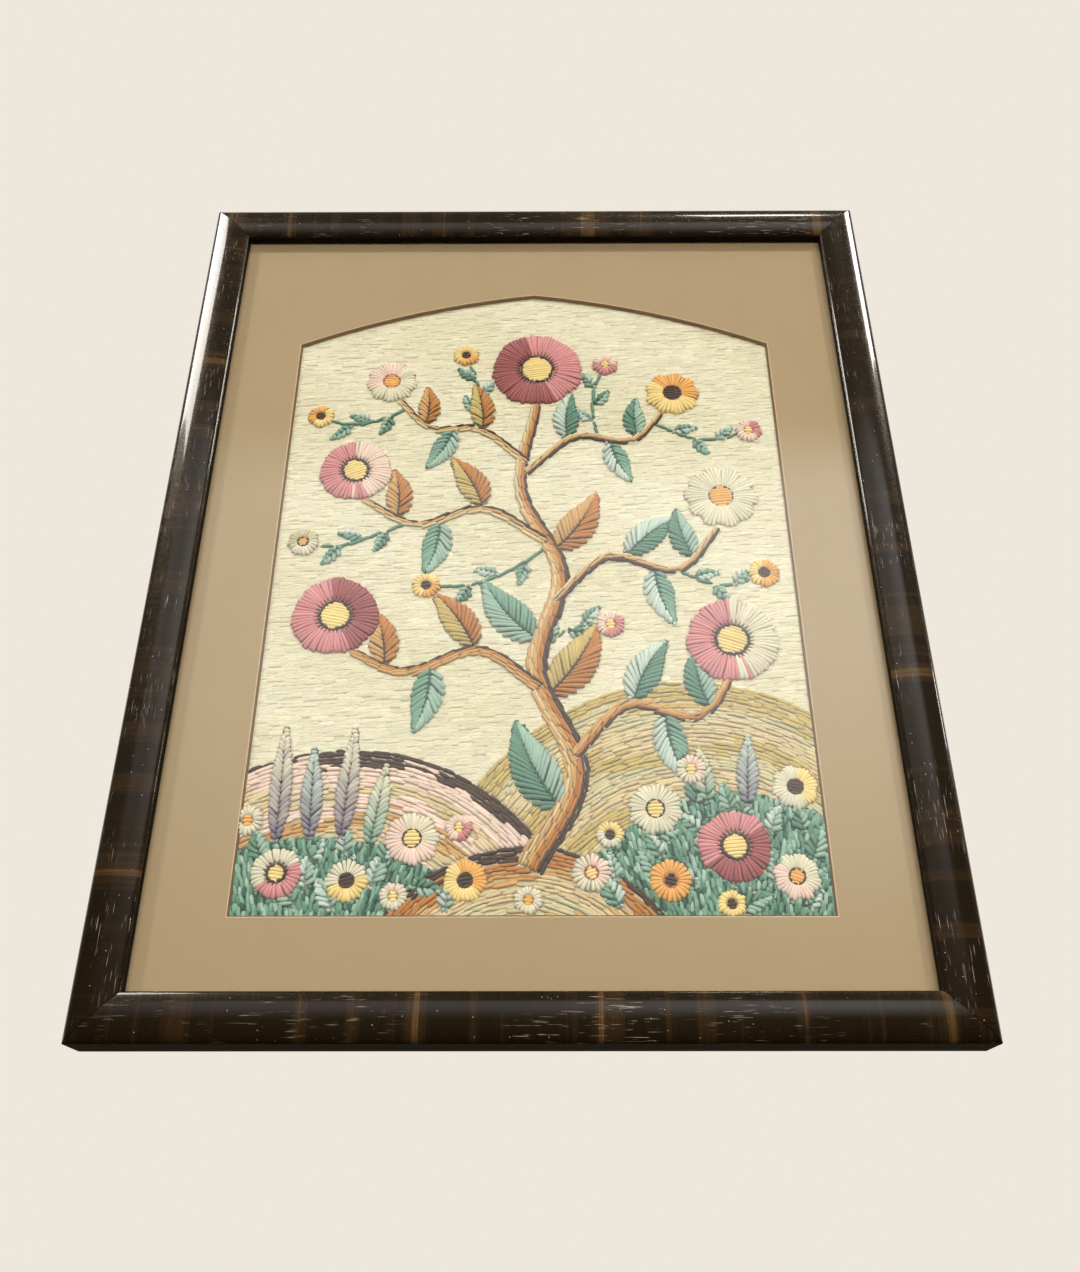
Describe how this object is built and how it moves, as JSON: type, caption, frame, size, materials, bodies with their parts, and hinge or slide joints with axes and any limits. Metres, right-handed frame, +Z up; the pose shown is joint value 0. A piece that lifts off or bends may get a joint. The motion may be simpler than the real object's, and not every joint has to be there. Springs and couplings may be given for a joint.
{
  "type": "framed crewel embroidery panel",
  "caption": "Crewel embroidery panel with a flowering stem in wool, stretched behind glass and an arched window mat, in a dark mitred wood picture frame that hangs flat on a wall.",
  "frame": {"origin": "centre of the bounding box at the underside of the bottom rail", "axes": "+Z up along the panel's height, X along its width, the front faces -Y and the back +Y"},
  "size_m": [0.438, 0.026, 0.55],
  "materials": {
    "rail": "dark cross-grained veneer under gloss lacquer",
    "glass": "clear picture glass",
    "mat": "matt taupe mat board",
    "embroidery": "wool stitched on stretched cloth",
    "board": "matt brown backing board"
  },
  "bodies": {
    "root": {"rail_bottom": "rail", "rail_top": "rail", "rail_left": "rail", "rail_right": "rail", "glass": "glass", "mat": "mat", "embroidery": "embroidery", "backing_board": "board"}
  },
  "joints": []
}
